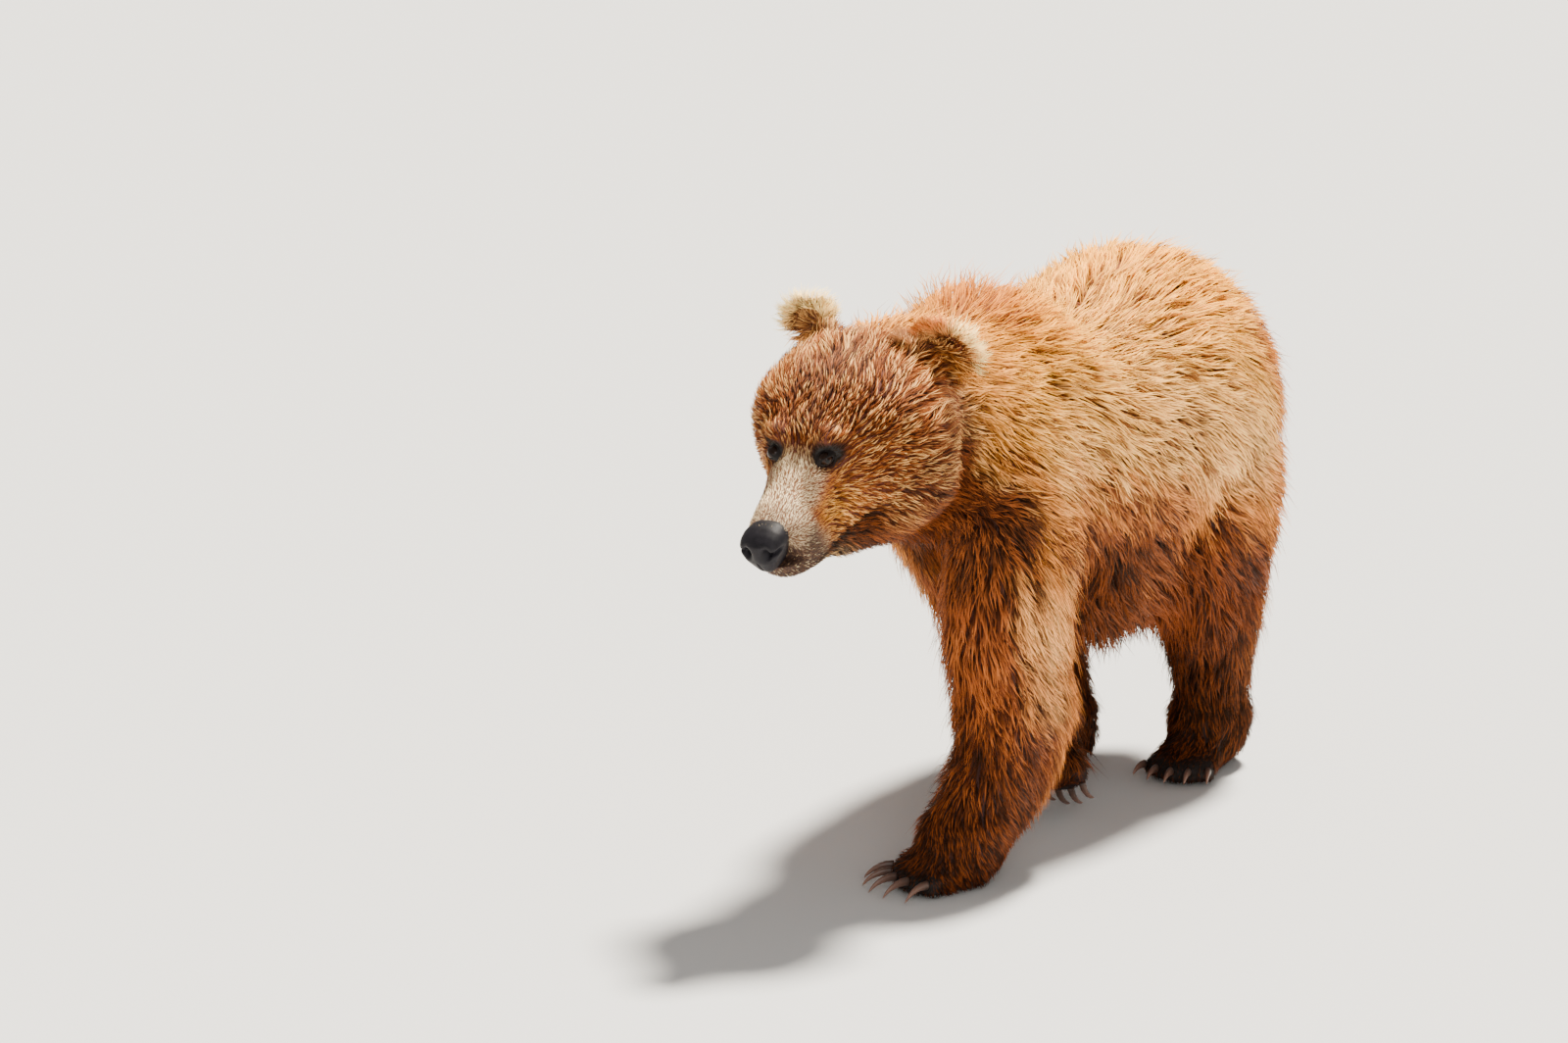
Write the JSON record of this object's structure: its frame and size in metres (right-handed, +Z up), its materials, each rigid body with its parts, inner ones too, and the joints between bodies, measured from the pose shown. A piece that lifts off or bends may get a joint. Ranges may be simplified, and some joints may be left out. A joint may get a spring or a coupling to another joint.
{
  "type": "grizzly bear",
  "caption": "Life-size grizzly bear in mid-stride, head low, with the right front paw just leaving the floor; a still figure for display.",
  "frame": {"origin": "middle of the underside of the bounding box, on the floor plane", "axes": "+Z up, the bear faces -Y, its left side is +X"},
  "size_m": [0.5656, 1.663, 1.0128],
  "materials": {
    "coat_gold": "matte",
    "coat_tawny": "matte",
    "coat_umber": "matte",
    "nose_leather": "satin",
    "claw_horn": "satin",
    "eye_gloss": "gloss"
  },
  "bodies": {
    "root": {"claw_front_left_1": "claw_horn", "claw_front_left_2": "claw_horn", "claw_front_left_3": "claw_horn", "claw_front_left_4": "claw_horn", "claw_front_left_5": "claw_horn", "claw_front_right_1": "claw_horn", "claw_front_right_2": "claw_horn", "claw_front_right_3": "claw_horn", "claw_front_right_4": "claw_horn", "claw_front_right_5": "claw_horn", "claw_hind_left_1": "claw_horn", "claw_hind_left_2": "claw_horn", "claw_hind_left_3": "claw_horn", "claw_hind_left_4": "claw_horn", "claw_hind_left_5": "claw_horn", "claw_hind_right_1": "claw_horn", "claw_hind_right_2": "claw_horn", "claw_hind_right_3": "claw_horn", "claw_hind_right_4": "claw_horn", "claw_hind_right_5": "claw_horn", "ear_left": "coat_tawny", "ear_right": "coat_tawny", "eye_left": "eye_gloss", "eye_right": "eye_gloss", "front_leg_left_lower": "coat_umber", "front_leg_left_upper": "coat_umber", "front_leg_right_lower": "coat_umber", "front_leg_right_upper": "coat_umber", "front_paw_left": "coat_umber", "front_paw_right": "coat_umber", "head": "coat_tawny", "hind_leg_left_lower": "coat_umber", "hind_leg_left_upper": "coat_umber", "hind_leg_right_lower": "coat_umber", "hind_leg_right_upper": "coat_umber", "hind_paw_left": "coat_umber", "hind_paw_right": "coat_umber", "lower_jaw": "coat_tawny", "neck": "coat_tawny", "nose": "nose_leather", "tail": "coat_gold", "trunk": "coat_gold"}
  },
  "joints": []
}
